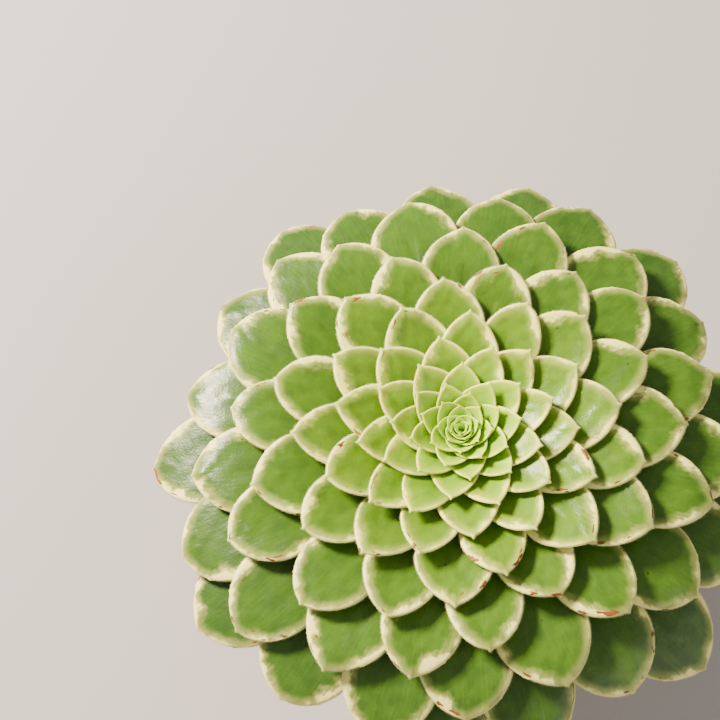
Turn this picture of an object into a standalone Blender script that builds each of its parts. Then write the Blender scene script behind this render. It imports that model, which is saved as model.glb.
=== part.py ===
"""A potted aeonium: a turned clay pot, its potting soil, and one rosette on a short stem.

Metres, +Z up. The origin is the middle of the pot's foot, on the surface that it stands on.

The leaves follow one spiral from the growing tip. Leaf 0 is the youngest, and each next leaf
stands one divergence angle further round, a little lower on the stem and a little longer.
Every leaf lies in its own shell, a surface of revolution about the stem, and each shell lies
below the one before it by the leaf pitch, so that no leaf meets another at any azimuth.
"""
import math

import bmesh
import bpy

# Driving dimensions, in metres unless the name says otherwise.
POT_HEIGHT = 0.122
POT_TOP_RADIUS = 0.075
POT_FOOT_RADIUS = 0.050
POT_WALL = 0.0065
POT_FLOOR = 0.009
RIM_HEIGHT = 0.026
RIM_STEP = 0.0042
RIM_TAPER = 0.0013
EDGE_ROUND = 0.0016
DRAIN_RADIUS = 0.0095
FIT_GAP = 0.0003
TURNED_SEGMENTS = 32

SOIL_BELOW_RIM = 0.016
SOIL_MOUND = 0.004
SOIL_MOUND_RADIUS = 0.030

STEM_RADIUS = 0.0105
STEM_ROOT_DEPTH = 0.040
STEM_ROOT_RADIUS = 0.007

APEX_HEIGHT = 0.176
LEAF_COUNT = 130
YOUNG_LEAF_COUNT = 74
BUD_LEAF_COUNT = 12
BUD_CLEARANCE = 3.5
BUD_CROWN = 0.0010
CONE_STEP = 9
DIVERGENCE = math.radians(137.47)
FIRST_AZIMUTH = math.radians(169.0)

GROWTH_SCALE = 0.00008096
GROWTH_OFFSET = 9.904
GROWTH_POWER = 1.526
ROSETTE_RADIUS = 0.127
SATURATION = 5.0

DOME_RADIUS = 0.108
DOME_BEND = 0.090
DOME_DROP = 0.1925

LEAF_PITCH = 0.00040
BUD_STAND = 0.008
BUD_LEAVES = 12.0

TIP_CONE_LEAVES = 25.0
TIP_CONE_START = 2.0
LEAF_THICKNESS = 0.0016
YOUNG_THICKNESS = 0.0005
YOUNG_ROOT = 0.0012
LEAF_BASE_HALF_WIDTH = 0.0024
BASE_SHARE = 0.55
LEAF_HALF_WIDTH = 0.0166
LEAF_WIDTH_AT = 0.098
CAP_LENGTH = 1.30
POINTED = 0.14
TIP_LEVEL = 1.02
ROW_CROWDING = 1.45
LEAF_COLUMNS = 4
LEAF_ROWS = 4
LENGTH_SPREAD = 0.028
AZIMUTH_SPREAD = math.radians(2.0)
SPREAD_TURN = 2.3
SPREAD_SWIRL = 0.7
LENGTH_PHASE = 1.1
AZIMUTH_PHASE = 1.9


def collection(name, parent):
    """A new collection under another."""
    made = bpy.data.collections.new(name)
    parent.children.link(made)
    return made


def material(name, colour, roughness):
    """A Principled material with one colour and roughness."""
    made = bpy.data.materials.new(name)
    made.use_nodes = True
    shader = made.node_tree.nodes["Principled BSDF"]
    shader.inputs["Base Color"].default_value = (*colour, 1.0)
    shader.inputs["Roughness"].default_value = roughness
    shader.inputs["Metallic"].default_value = 0.0
    return made


def place(name, mesh, finish, group):
    """A named object for a mesh, in its collection."""
    made = bpy.data.objects.new(name, mesh)
    made.data.materials.append(finish)
    group.objects.link(made)
    return made


def turned(name, profile, closed, finish, group):
    """A piece turned about Z from (radius, height) points, which run down its outer side."""
    mesh = bpy.data.meshes.new(name)
    count = len(profile)
    edges = [(i, i + 1) for i in range(count - 1)]
    if closed:
        edges.append((count - 1, 0))
    mesh.from_pydata([(radius, 0.0, height) for radius, height in profile], edges, [])
    made = place(name, mesh, finish, group)
    screw = made.modifiers.new("turn", "SCREW")
    screw.steps = TURNED_SEGMENTS
    screw.render_steps = TURNED_SEGMENTS
    screw.use_merge_vertices = True
    screw.merge_threshold = 0.00001
    return made


def rounded(corner_radius, corner_height, from_turn, to_turn, steps=2):
    """Points of a small quarter round about a centre, between two turns in degrees."""
    points = []
    for step in range(steps + 1):
        turn = math.radians(from_turn + (to_turn - from_turn) * step / steps)
        points.append((
            corner_radius + EDGE_ROUND * math.cos(turn),
            corner_height + EDGE_ROUND * math.sin(turn),
        ))
    return points


def pot_outer(height):
    """Radius of the pot's outer wall below the rim band, at a height."""
    top = POT_TOP_RADIUS - RIM_STEP
    return POT_FOOT_RADIUS + (top - POT_FOOT_RADIUS) * height / POT_HEIGHT


def pot_inner(height):
    """Radius of the pot's inner wall at a height."""
    return pot_outer(height) - POT_WALL


def pot_profile():
    """The pot's section: rim band, wall, foot, drain hole, floor and inner wall."""
    band = POT_HEIGHT - RIM_HEIGHT
    band_radius = POT_TOP_RADIUS - RIM_TAPER
    inner_top = pot_inner(POT_HEIGHT) + EDGE_ROUND
    e = EDGE_ROUND
    points = rounded(POT_TOP_RADIUS - e, POT_HEIGHT - e, 90, 0)
    points += rounded(band_radius - e, band + e, 0, -90)
    points.append((pot_outer(band), band))
    points += rounded(POT_FOOT_RADIUS - e, e, 0, -90)
    points += [(DRAIN_RADIUS, 0.0), (DRAIN_RADIUS, POT_FLOOR)]
    points.append((pot_inner(POT_FLOOR) - 2 * e, POT_FLOOR))
    points.append((pot_inner(POT_FLOOR + 3 * e), POT_FLOOR + 3 * e))
    points += rounded(inner_top, POT_HEIGHT - e, 180, 90)
    return points


def soil_height(radius):
    """Height of the soil's surface: nearly level, and heaped a little round the stem."""
    level = POT_HEIGHT - SOIL_BELOW_RIM
    return level + SOIL_MOUND * math.exp(-((radius / SOIL_MOUND_RADIUS) ** 2))


def soil_profile():
    """The soil's section: the stem's socket, the surface, the side and the bottom."""
    socket = STEM_RADIUS + FIT_GAP
    socket_floor = POT_HEIGHT - SOIL_BELOW_RIM - STEM_ROOT_DEPTH - FIT_GAP
    edge = pot_inner(POT_HEIGHT - SOIL_BELOW_RIM) - 2 * FIT_GAP
    points = [(0.0, socket_floor), (STEM_ROOT_RADIUS + FIT_GAP, socket_floor)]
    rings = 6
    for ring in range(rings + 1):
        radius = socket + (edge - socket) * ring / rings
        points.append((radius, soil_height(radius)))
    e = EDGE_ROUND
    bottom = POT_FLOOR + FIT_GAP
    points.append((pot_inner(POT_FLOOR + 3 * e) - 2 * FIT_GAP, POT_FLOOR + 3 * e))
    points += [(pot_inner(POT_FLOOR) - 2 * e - 2 * FIT_GAP, bottom), (0.0, bottom)]
    return points


def tip_radius(leaf):
    """Distance of a leaf's tip from the stem's axis: it grows with age and then levels off."""
    free = GROWTH_SCALE * (leaf + GROWTH_OFFSET) ** GROWTH_POWER
    return free / (1 + (free / ROSETTE_RADIUS) ** SATURATION) ** (1 / SATURATION)


def leaf_ending_at(radius):
    """The leaf, as a number with a fraction, whose tip is at a radius."""
    share = min((radius / ROSETTE_RADIUS) ** SATURATION, 0.999)
    free = radius / (1 - share) ** (1 / SATURATION)
    return (free / GROWTH_SCALE) ** (1 / GROWTH_POWER) - GROWTH_OFFSET


def depth(leaf):
    """How far a leaf's shell lies below the first leaf's: even steps, and wider in the bud."""
    return LEAF_PITCH * leaf + BUD_STAND * (1 - math.exp(-leaf / BUD_LEAVES))


def dome(radius):
    """Height of the rosette's face at a radius, below its middle."""
    share = radius / DOME_RADIUS
    return -DOME_RADIUS * (DOME_BEND * share ** 2 + DOME_DROP * share ** 4)


def shell(leaf, radius):
    """Height of a leaf's middle surface at a radius, below the rosette's middle."""
    return dome(radius) - depth(leaf) + depth(leaf_ending_at(radius))


def stalk_radius(leaf):
    """Radius of the stem where a leaf grows from it: a blunt cone at the growing tip."""
    return STEM_RADIUS * (1 - math.exp(-(leaf + TIP_CONE_START) / TIP_CONE_LEAVES))


def spread(leaf, phase):
    """A repeatable value from -1 to 1 for a leaf, with no pattern along the spiral."""
    return math.sin(leaf * SPREAD_TURN + phase) * math.cos(leaf * leaf * SPREAD_SWIRL + 2 * phase)


def leaf_length_factor(leaf):
    """Individual leaf lengths differ a little."""
    return 1 + LENGTH_SPREAD * spread(leaf, LENGTH_PHASE)


def leaf_point(leaf, across, along, start):
    """A point of a leaf's middle surface, on its midrib's +X side of the stem.

    across runs from -1 to 1 and along from 0 to 2: below 1 the blade widens from its narrow
    base, and from 1 to 2 it closes in an elliptical cap, drawn in a little to a point.
    """
    tip = tip_radius(leaf) * leaf_length_factor(leaf)
    half = LEAF_HALF_WIDTH * math.sqrt(tip / LEAF_WIDTH_AT)
    base = min(LEAF_BASE_HALF_WIDTH, BASE_SHARE * half)
    cap = CAP_LENGTH * half
    if along <= 1:
        ease = along * along * (3 - 2 * along)
        x = across * (base + (half - base) * ease)
        radius = start + (tip - cap - start) * along
    else:
        rise = along - 1
        closing = rise * math.sqrt(1 - across * across / 2)
        x = half * across * math.sqrt(1 - rise * rise / 2) * (1 - POINTED * closing ** 2)
        radius = tip - cap + cap * closing
    turn = x / radius
    height = shell(leaf, min(radius, tip_radius(leaf) * TIP_LEVEL))
    return (radius * math.cos(turn), radius * math.sin(turn), height)


def leaf_object(name, leaf, start, thickness, finish, group):
    """One leaf: a grid bent into its shell, thickened evenly to both sides."""
    shape = bmesh.new()
    bmesh.ops.create_grid(shape, x_segments=LEAF_COLUMNS, y_segments=LEAF_ROWS, size=1.0)
    for vertex in shape.verts:
        along = 2 * ((vertex.co.y + 1) / 2) ** ROW_CROWDING
        vertex.co = leaf_point(leaf, vertex.co.x, along, start)
    mesh = bpy.data.meshes.new(name)
    shape.to_mesh(mesh)
    shape.free()
    mesh.shade_smooth()
    made = place(name, mesh, finish, group)
    solidify = made.modifiers.new("flesh", "SOLIDIFY")
    solidify.thickness = thickness
    solidify.offset = 0.0
    made.location = (0.0, 0.0, APEX_HEIGHT)
    azimuth = FIRST_AZIMUTH - DIVERGENCE * leaf + AZIMUTH_SPREAD * spread(leaf, AZIMUTH_PHASE)
    made.rotation_euler = (0.0, 0.0, azimuth)
    return made


def crown_profile():
    """The growing tip's section: the closed bud, the blunt cone where leaves stand, the stem.

    The bud's side is the shell just inside its first open leaf, and its top is a low dome.
    """
    skin = BUD_LEAF_COUNT - BUD_CLEARANCE
    brim = tip_radius(skin)
    waist = stalk_radius(BUD_LEAF_COUNT)
    points = [(0.0, BUD_CROWN), (0.6 * brim, 0.8 * BUD_CROWN)]
    rings = 4
    for ring in range(rings + 1):
        radius = brim + (waist - brim) * ring / rings
        points.append((radius, shell(skin, radius)))
    for leaf in range(BUD_LEAF_COUNT + 5, YOUNG_LEAF_COUNT, CONE_STEP):
        radius = stalk_radius(leaf)
        points.append((radius, shell(leaf, radius)))
    points = [(radius, height + APEX_HEIGHT) for radius, height in points]
    points += [(STEM_RADIUS, crown_foot()), (0.0, crown_foot())]
    return points


def crown_foot():
    """Height of the plane where the growing tip ends and the woody stem begins."""
    return APEX_HEIGHT + shell(YOUNG_LEAF_COUNT, STEM_RADIUS) - 2.5 * LEAF_THICKNESS


def stem_profile():
    """The woody stem's section, from under the growing tip down to its root end."""
    top = crown_foot() - FIT_GAP
    ground = soil_height(STEM_RADIUS + FIT_GAP)
    root = POT_HEIGHT - SOIL_BELOW_RIM - STEM_ROOT_DEPTH
    return [(0.0, top), (STEM_RADIUS, top), (STEM_RADIUS, ground), (STEM_ROOT_RADIUS, root), (0.0, root)]


def build():
    """Clears the scene and models every piece."""
    for old in list(bpy.data.objects):
        bpy.data.objects.remove(old, do_unlink=True)
    root = bpy.context.scene.collection
    parts = collection("potted_aeonium", root)
    cutters = collection("joined_young_leaves", root)
    clay = material("terracotta", (0.45, 0.17, 0.09), 0.85)
    earth = material("potting_soil", (0.05, 0.03, 0.02), 0.95)
    bark = material("woody_stem", (0.20, 0.13, 0.08), 0.80)
    green = material("leaf_green", (0.16, 0.30, 0.07), 0.35)
    young = material("young_leaf_green", (0.38, 0.52, 0.16), 0.35)

    turned("pot", pot_profile(), True, clay, parts)
    turned("soil", soil_profile(), False, earth, parts)
    turned("stem", stem_profile(), False, bark, parts)

    heart = turned("rosette_heart", crown_profile(), False, young, parts)
    for leaf in range(BUD_LEAF_COUNT, YOUNG_LEAF_COUNT):
        age = leaf / YOUNG_LEAF_COUNT
        thickness = YOUNG_THICKNESS + (LEAF_THICKNESS - YOUNG_THICKNESS) * age
        start = stalk_radius(leaf) - YOUNG_ROOT
        joined = leaf_object(f"young_leaf_{leaf:02d}", leaf, start, thickness, young, cutters)
        joined.hide_render = True
        joined.display_type = "WIRE"
    union = heart.modifiers.new("young leaves", "BOOLEAN")
    union.operation = "UNION"
    union.operand_type = "COLLECTION"
    union.collection = cutters
    union.solver = "EXACT"

    seat = STEM_RADIUS + FIT_GAP + 0.35 * LEAF_THICKNESS
    for number, leaf in enumerate(range(YOUNG_LEAF_COUNT, LEAF_COUNT), start=1):
        leaf_object(f"leaf_{number:02d}", leaf, seat, LEAF_THICKNESS, green, parts)


build()
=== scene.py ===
"""Looks of a potted aeonium: a variegated rosette on a short stem in a clay pot.

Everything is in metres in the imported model's frame. Lengths that name MM are counts of it.
"""
import math
from functools import partial

import bpy
import numpy as np
from mathutils import Matrix, Vector


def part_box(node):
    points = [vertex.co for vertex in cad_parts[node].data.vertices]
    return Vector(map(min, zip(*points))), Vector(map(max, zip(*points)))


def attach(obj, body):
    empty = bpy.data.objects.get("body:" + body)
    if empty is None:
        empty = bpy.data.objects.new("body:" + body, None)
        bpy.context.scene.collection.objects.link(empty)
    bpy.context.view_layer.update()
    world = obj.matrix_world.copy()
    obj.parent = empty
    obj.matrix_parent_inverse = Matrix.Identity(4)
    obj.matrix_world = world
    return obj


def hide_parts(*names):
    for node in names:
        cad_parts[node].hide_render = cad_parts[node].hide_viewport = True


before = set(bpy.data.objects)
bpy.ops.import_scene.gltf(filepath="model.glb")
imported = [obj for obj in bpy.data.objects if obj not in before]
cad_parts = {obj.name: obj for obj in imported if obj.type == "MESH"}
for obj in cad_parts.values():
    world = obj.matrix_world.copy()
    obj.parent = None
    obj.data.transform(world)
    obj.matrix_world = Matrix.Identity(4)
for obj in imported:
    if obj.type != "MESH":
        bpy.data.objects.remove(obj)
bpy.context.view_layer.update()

MM = 0.001
TAU = 2 * math.pi

# The spiral and its shells, in the construction's own values.
LEAF_COUNT = 130
YOUNG_LEAF_COUNT = 74
DIVERGENCE = math.radians(137.47)
FIRST_AZIMUTH = math.radians(169.0)
BUD_CROWN = 1.0 * MM
GROWTH_SCALE = 0.08096 * MM
GROWTH_OFFSET = 9.904
GROWTH_POWER = 1.526
ROSETTE_RADIUS = 127 * MM
SATURATION = 5.0
DOME_RADIUS = 108 * MM
DOME_BEND = 0.090
DOME_DROP = 0.1925
LEAF_PITCH = 0.40 * MM
BUD_STAND = 8.0 * MM
BUD_LEAVES = 12.0
STEM_RADIUS = 10.5 * MM
TIP_CONE_START = 2.0
TIP_CONE_LEAVES = 25.0
LEAF_BASE_HALF_WIDTH = 2.4 * MM
BASE_SHARE = 0.55
LEAF_HALF_WIDTH = 16.6 * MM
LEAF_WIDTH_AT = 98 * MM
CAP_LENGTH = 1.30
LENGTH_SPREAD = 0.028
AZIMUTH_SPREAD = math.radians(2.0)
SPREAD_TURN = 2.3
SPREAD_SWIRL = 0.7
LENGTH_PHASE = 1.1
AZIMUTH_PHASE = 1.9

# How far in from a leaf's outline the rolled rim, the rim's waves and the thin edge reach.
ROLL_REACH = 2.2 * MM
WAVE_REACH = 4.0 * MM
FLESH_REACH = 4.5 * MM

# Size of the rim's waves, and how much of the flesh lies above and below the middle surface.
RIM_WAVE = 0.4 * MM
TOP_FLESH = 0.6
LOWER_FLESH = 0.2

# How far from the axis the bud's tops are drawn in, and by what share. One UV unit's length.
BUD_REACH = 9 * MM
BUD_DRAW = 0.34
UV_UNIT = 100 * MM

# Hairs of the leaf margins.
HAIR_SPACING = 0.28 * MM
HAIR_RADIUS = 0.090 * MM
HAIR_ROOT = 0.12 * MM
HAIR_LEAN = 0.35
HAIRS_BEGIN = 0.42

# Seeds of the random draws.
SHAPE_SEED, SURFACE_SEED, HAIR_SEED = 7, 11, 23
SOIL_SEED, PERLITE_SEED, BARK_SEED, GRIT_SEED = 501, 502, 503, 504

# Leaf colours by age, from the bud to the oldest leaves.
LEAF_GREENS = ((0.0, "#ccf600"), (0.16, "#aade08"), (0.36, "#78a014"), (0.62, "#50761c"),
               (1.0, "#3c5e22"))
# The darker greens below are the leaves' own darker tone, and also the colour of the painted shade
# towards each leaf's base.
DEEP_AND_SHADE_GREENS = ((0.0, "#90c800"), (0.16, "#72a200"), (0.36, "#426e10"), (0.62, "#2a4e14"),
               (1.0, "#223f16"))
MARGIN_CREAMS = ((0.0, "#d8fc10"), (0.14, "#ecfc38"), (0.35, "#fafa7c"), (0.6, "#faf494"),
                 (1.0, "#f4ea94"))

APEX_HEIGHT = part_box("rosette_heart")[1][2] - BUD_CROWN
POT_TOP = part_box("pot")[1][2]
POT_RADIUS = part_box("pot")[1][0]
SOIL_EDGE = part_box("soil")[1][0]


# ---------------------------------------------------------------- helpers

def rng(*key):
    """A seeded random source for a key of whole numbers."""
    return np.random.default_rng(list(key))


def smooth(low, high, value):
    """A ramp from 0 at low to 1 at high that leaves and arrives level."""
    share = np.clip((value - low) / (high - low), 0, 1)
    return share * share * (3 - 2 * share)


def colour(code):
    """An sRGB hex colour as the linear red, green, blue and alpha that shaders take."""
    parts = np.array([int(code[i:i + 2], 16) / 255 for i in (1, 3, 5)])
    linear = np.where(parts <= 0.04045, parts / 12.92, ((parts + 0.055) / 1.055) ** 2.4)
    return (*linear.tolist(), 1.0)


def mesh_of(name, points, faces, attributes=None, uv=None):
    """An object at the origin from points and arrays of faces, with point attributes and a UV map.

    A closed skin's volume is the sum of (a x b) . c / 6 over its triangles (a, b, c). Where that is
    negative the faces look inward, and every face is turned over.
    """
    points = np.asarray(points, dtype=float)
    faces = [np.asarray(array) for array in faces]
    fans = np.concatenate([array[:, [0, i, i + 1]]
                           for array in faces for i in range(1, array.shape[1] - 1)])
    a, b, c = (points[fans[:, i]] for i in range(3))
    if np.sum(np.cross(a, b) * c) < 0:
        faces = [array[:, ::-1] for array in faces]
    corners = np.concatenate([array.ravel() for array in faces]).astype(np.int32)
    sides = np.concatenate([np.full(len(array), array.shape[1]) for array in faces])
    mesh = bpy.data.meshes.new(name)
    mesh.vertices.add(len(points))
    mesh.vertices.foreach_set("co", points.astype(np.float32).ravel())
    mesh.loops.add(len(corners))
    mesh.loops.foreach_set("vertex_index", corners)
    mesh.polygons.add(len(sides))
    mesh.polygons.foreach_set("loop_start", (np.cumsum(sides) - sides).astype(np.int32))
    mesh.polygons.foreach_set("use_smooth", np.ones(len(sides), dtype=bool))
    mesh.update(calc_edges=True)
    for key, values in (attributes or {}).items():
        layer = mesh.attributes.new(key, "FLOAT", "POINT")
        layer.data.foreach_set("value", np.asarray(values, dtype=np.float32).ravel())
    if uv is not None:
        layer = mesh.uv_layers.new(name="surface")
        layer.data.foreach_set("uv", np.asarray(uv, dtype=np.float32)[corners].ravel())
    made = bpy.data.objects.new(name, mesh)
    bpy.context.scene.collection.objects.link(made)
    return made


def grid_faces(rows, columns, wrap=False):
    """Quads of a grid of points counted row by row. Wrap joins the last column to the first."""
    across = columns if wrap else columns - 1
    row, column = np.meshgrid(np.arange(rows - 1), np.arange(across), indexing="ij")
    after = (column + 1) % columns
    quads = [row * columns + column, row * columns + after,
             (row + 1) * columns + after, (row + 1) * columns + column]
    return np.stack(quads, axis=-1).reshape(-1, 4)


def turned_solid(rows, segments):
    """Faces of a turned solid of rows x segments points, closed by fans round its two last points."""
    around = np.arange(segments)
    after = np.roll(around, -1)
    last = (rows - 1) * segments
    low = np.stack([after, around, np.full(segments, rows * segments)], 1)
    high = np.stack([last + around, last + after, np.full(segments, rows * segments + 1)], 1)
    return [grid_faces(rows, segments, wrap=True), low, high]


def with_middles(grid):
    """A turned solid's grid as a list of points that ends with the middles of its end rows."""
    return np.concatenate([grid.reshape(-1, 3), [grid[0].mean(0), grid[-1].mean(0)]])


# ---------------------------------------------------------------- leaf geometry

def tip_radius(leaf):
    """Distance of a leaf's tip from the stem's axis: scale (leaf + offset) ^ power, levelling off."""
    free = GROWTH_SCALE * (leaf + GROWTH_OFFSET) ** GROWTH_POWER
    return free / (1 + (free / ROSETTE_RADIUS) ** SATURATION) ** (1 / SATURATION)


def leaf_ending_at(radius):
    """The leaf, with a fraction, whose tip is at a radius: tip_radius turned round."""
    share = np.minimum((radius / ROSETTE_RADIUS) ** SATURATION, 0.999)
    free = radius / (1 - share) ** (1 / SATURATION)
    return (free / GROWTH_SCALE) ** (1 / GROWTH_POWER) - GROWTH_OFFSET


def depth(leaf):
    """How far a leaf's shell lies below the first one's: an even pitch, and more in the bud."""
    return LEAF_PITCH * leaf + BUD_STAND * (1 - np.exp(-leaf / BUD_LEAVES))


def shell(leaf, radius):
    """Height of a leaf's middle surface: the dome, less its own depth, plus the depth here."""
    share = radius / DOME_RADIUS
    dome = -DOME_RADIUS * (DOME_BEND * share ** 2 + DOME_DROP * share ** 4)
    return dome - depth(leaf) + depth(leaf_ending_at(radius))


def stalk_radius(leaf):
    """Radius of the stem where a leaf grows: a blunt cone at the growing tip."""
    return STEM_RADIUS * (1 - np.exp(-(leaf + TIP_CONE_START) / TIP_CONE_LEAVES))


def spread(leaf, phase):
    """The construction's repeatable value from -1 to 1 for a leaf."""
    return math.sin(leaf * SPREAD_TURN + phase) * math.cos(leaf * leaf * SPREAD_SWIRL + 2 * phase)


ACROSS = np.array([0, .03, .08, .16, .28, .42, .56, .70, .81, .89, .94, .975, .993, 1.0])
ACROSS = np.concatenate([-ACROSS[:0:-1], ACROSS])
BLADE_ROWS = np.linspace(0, 1, 10)[:-1] ** 1.3
CAP_ROWS = np.array([0, .15, .30, .45, .58, .70, .80, .88, .935, .97, .99, 1.0])


def leaf_plan(leaf, shape):
    """Flat plan of a leaf: x across and y out from the stem's axis, for every grid point.

    Below the cap the half width eases from the narrow base to the widest place. In the cap a
    square is mapped to a half disc, X = u sqrt(1 - q q / 2) and Y = q sqrt(1 - u u / 2), and Y is
    blended with its distance less |X|, which draws the round end to a corner at the tip.
    """
    tip = tip_radius(leaf) * (1 + LENGTH_SPREAD * spread(leaf, LENGTH_PHASE))
    plain_half = LEAF_HALF_WIDTH * math.sqrt(tip / LEAF_WIDTH_AT)
    half = plain_half * shape["width"]
    base = min(LEAF_BASE_HALF_WIDTH, BASE_SHARE * plain_half)
    start = stalk_radius(leaf) * 0.98
    cap = min(shape["cap"] * plain_half, 0.8 * (tip - start))
    u, along = np.meshgrid(ACROSS, BLADE_ROWS)
    x = u * (base + (half - base) * smooth(0, 1, along))
    y = start + (tip - cap - start) * along
    u, q = np.meshgrid(ACROSS, CAP_ROWS)
    disc_x = u * np.sqrt(1 - q * q / 2)
    disc_y = q * np.sqrt(1 - u * u / 2)
    corner = shape["corner"]
    pointed = (1 - corner) * disc_y + corner * (np.hypot(disc_x, disc_y) - np.abs(disc_x))
    x = np.concatenate([x, half * disc_x])
    y = np.concatenate([y, tip - cap + cap * pointed])
    out = (y - start) / (tip - start)
    x = x + shape["skew"] * half * out ** 3 * (1 - (x / half) ** 2)
    spike = np.exp(-(u / 0.06) ** 2) * smooth(0.9, 1.0, q)
    y[-len(CAP_ROWS):] += shape["spike"] * spike
    return x, y, half, tip, out


def rim_distance(x, y):
    """Each point's distance to the outline, and the outline's signed length from the tip to there."""
    middle = len(ACROSS) // 2
    left = np.stack([x[:, 0], y[:, 0]], 1)
    top = np.stack([x[-1, 1:-1], y[-1, 1:-1]], 1)
    right = np.stack([x[::-1, -1], y[::-1, -1]], 1)
    path = np.concatenate([left, top, right])
    run = np.concatenate([[0], np.cumsum(np.hypot(*np.diff(path, axis=0).T))])
    run = run - run[len(left) + middle - 1]
    steps = np.linspace(run[0], run[-1], 400)
    fine = np.stack([np.interp(steps, run, path[:, i]) for i in (0, 1)], 1)
    apart = np.hypot(x.ravel()[:, None] - fine[None, :, 0], y.ravel()[:, None] - fine[None, :, 1])
    nearest = apart.argmin(1)
    edge = apart[np.arange(len(nearest)), nearest].reshape(x.shape)
    edge[:, [0, -1]] = 0
    edge[-1] = 0
    return edge, steps[nearest].reshape(x.shape)


def waves(source, position, lengths, size):
    """A sum of sines of given wavelengths with random phases, each as strong as its wavelength."""
    total = np.zeros_like(position)
    for length in lengths:
        total += length * np.sin(TAU * position / length + source.uniform(0, TAU))
    return size * total / sum(lengths)


def leaf_shape(leaf):
    """A leaf's own proportions: young ones wrap round the bud, old ones are broad shallow spoons."""
    source = rng(leaf, SHAPE_SEED)
    age = leaf / LEAF_COUNT
    tip = tip_radius(leaf)
    return {
        "age": age,
        "width": (1 + 2.0 * math.exp(-tip / (11.5 * MM))) * source.uniform(0.92, 1.09),
        "cap": np.interp(age, [0, 0.3, 0.6, 1], [1.30, 1.25, 1.12, 1.04]),
        "corner": (np.interp(age, [0, 0.12, 0.3, 0.6, 1], [0.5, 0.46, 0.37, 0.20, 0.10])
                   + source.uniform(-0.08, 0.10)),
        "skew": source.uniform(-0.10, 0.10),
        "spike": MM * np.interp(age, [0, 0.1, 0.5, 1], [0.3, 0.8, 0.8, 0.5]),
        "cup": (MM * np.interp(age, [0, 0.1, 0.25, 0.5, 0.8, 1], [0.1, 0.8, 1.6, 1.8, 1.4, 1.1])
                * source.uniform(0.5, 1.4)),
        "twist": source.uniform(-0.05, 0.05),
        "curl": (MM * np.interp(age, [0, 0.2, 0.5, 0.8, 1], [0.1, 1.6, 3.0, 2.4, 1.2])
                 * source.uniform(0.3, 1.3)),
        "pitch": source.uniform(-0.004, 0.006) * min(1, age * 2),
        "wrap": math.exp(-tip / (16 * MM)),
        "flesh": MM * np.interp(age, [0, 0.15, 0.4, 0.7], [0.24, 0.70, 1.60, 2.50]),
        "rim": MM * np.interp(age, [0, 0.15, 0.4, 0.7], [0.16, 0.32, 0.62, 0.92]),
        "roll": MM * np.interp(age, [0, 0.2, 0.5, 1], [0.0, 0.1, 0.3, 0.6]) * source.uniform(0.3, 1.6),
    }


def close_bud(radius, height):
    """Draws the tops of the youngest leaves in over the growing tip, less and less outwards."""
    return radius * (1 - BUD_DRAW * np.exp(-radius / BUD_REACH) * smooth(-BUD_REACH, 0, height))


def leaf_surface(leaf):
    """Top and bottom points of a leaf, its outline's values, and its rim's points and outward ways.

    The middle surface takes each plan point to radius y, turn x / y and the shell's height there,
    plus a cup that rises with (x / half) squared, a twist along x, a curl at the tip and waves
    round the rim. Both skins stand off it by a rounded rim, sqrt(1 - (1 - e) ^ 2), and the flesh.
    """
    shape = leaf_shape(leaf)
    source = rng(leaf, SURFACE_SEED)
    x, y, half, tip, out = leaf_plan(leaf, shape)
    edge, run = rim_distance(x, y)
    lift = shape["cup"] * (x / half) ** 2 * smooth(0.25, 0.8, out)
    lift += shape["twist"] * x * smooth(0.3, 1.0, out)
    lift += shape["curl"] * smooth(0.66, 1.02, out) ** 1.5
    lift += shape["pitch"] * y * smooth(0.1, 1.0, out)
    lift -= shape["roll"] * np.exp(-edge / ROLL_REACH) * smooth(0.3, 0.6, out)
    near_rim = np.exp(-edge / WAVE_REACH) * smooth(0.35, 0.7, out)
    lift += near_rim * waves(source, 1.3 * x + 0.6 * y, [9 * MM, 14 * MM, 23 * MM],
                             RIM_WAVE * min(1, shape["age"] * 3))
    height = shell(leaf, np.minimum(y, tip_radius(leaf) * 1.02)) + lift
    azimuth = FIRST_AZIMUTH - DIVERGENCE * leaf + AZIMUTH_SPREAD * spread(leaf, AZIMUTH_PHASE)
    turn = azimuth + x / (y * (1 - shape["wrap"]) + tip * shape["wrap"])
    radius = close_bud(y, height)
    middle = np.stack([radius * np.cos(turn), radius * np.sin(turn), APEX_HEIGHT + height], axis=-1)
    down = np.gradient(middle, axis=0)
    side = np.gradient(middle, axis=1)
    normal = np.cross(down, side)
    normal /= np.linalg.norm(normal, axis=-1, keepdims=True)
    rounding = np.clip(edge / shape["rim"], 0, 1)
    skin = shape["rim"] * np.sqrt(1 - (1 - rounding) ** 2)
    body = ((shape["flesh"] - shape["rim"]) * (1 - np.exp(-edge / FLESH_REACH))
            * (0.35 + 0.65 * smooth(0.1, 0.5, out)))
    dents = (waves(source, x * 1.3 + y, [5 * MM, 8 * MM], 0.16 * MM)
             + waves(source, y - 1.2 * x, [7 * MM, 11 * MM], 0.20 * MM))
    dents = dents * smooth(0.5 * MM, 3 * MM, edge) * min(1, shape["age"] * 2.5)
    top = middle + normal * (skin + TOP_FLESH * body + dents)[..., None]
    bottom = middle - normal * (skin + LOWER_FLESH * body)[..., None]
    cream = cream_width(source, run, shape, out)
    values = {"edge": edge / MM, "run": run / MM, "cream": cream / MM, "out": out}
    outline = {"middle": middle, "normal": normal, "run": run, "out": out}
    return top, bottom, values, outline, x, y, shape


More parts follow.
